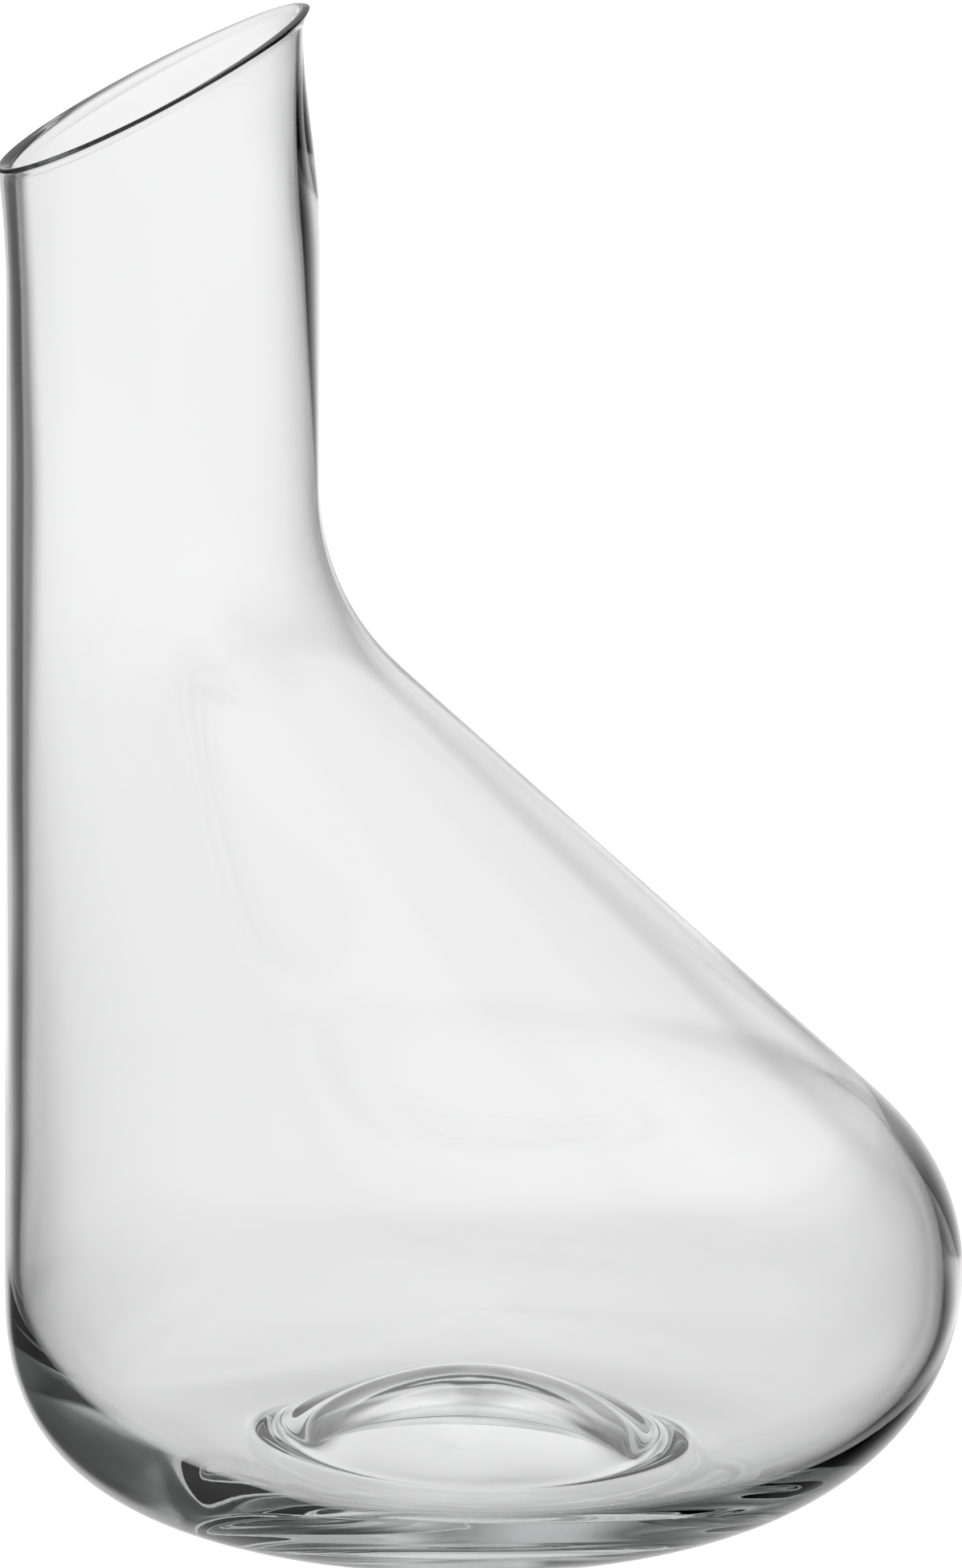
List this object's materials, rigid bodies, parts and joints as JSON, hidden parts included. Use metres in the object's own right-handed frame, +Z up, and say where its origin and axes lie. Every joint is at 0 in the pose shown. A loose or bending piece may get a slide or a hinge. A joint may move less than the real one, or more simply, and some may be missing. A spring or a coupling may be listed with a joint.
{
  "type": "wine decanter",
  "caption": "Clear blown-glass wine decanter with a straight back, a bulb that leans forward, a slanted mouth and a punt in its base.",
  "frame": {"origin": "on the table plane, in the plane of symmetry, midway between the bulb's widest point and the lip's furthest point; the foot ring's centre is 1.7 mm behind it", "axes": "+Z up, +X towards the leaning bulb, -X towards the straight back and the lip's low side; XZ is the plane of symmetry"},
  "size_m": [0.1726, 0.171, 0.2714],
  "materials": {
    "clear_glass": "polished, fire-polished rim"
  },
  "bodies": {
    "root": {"glass_vessel": "clear_glass"}
  },
  "joints": []
}
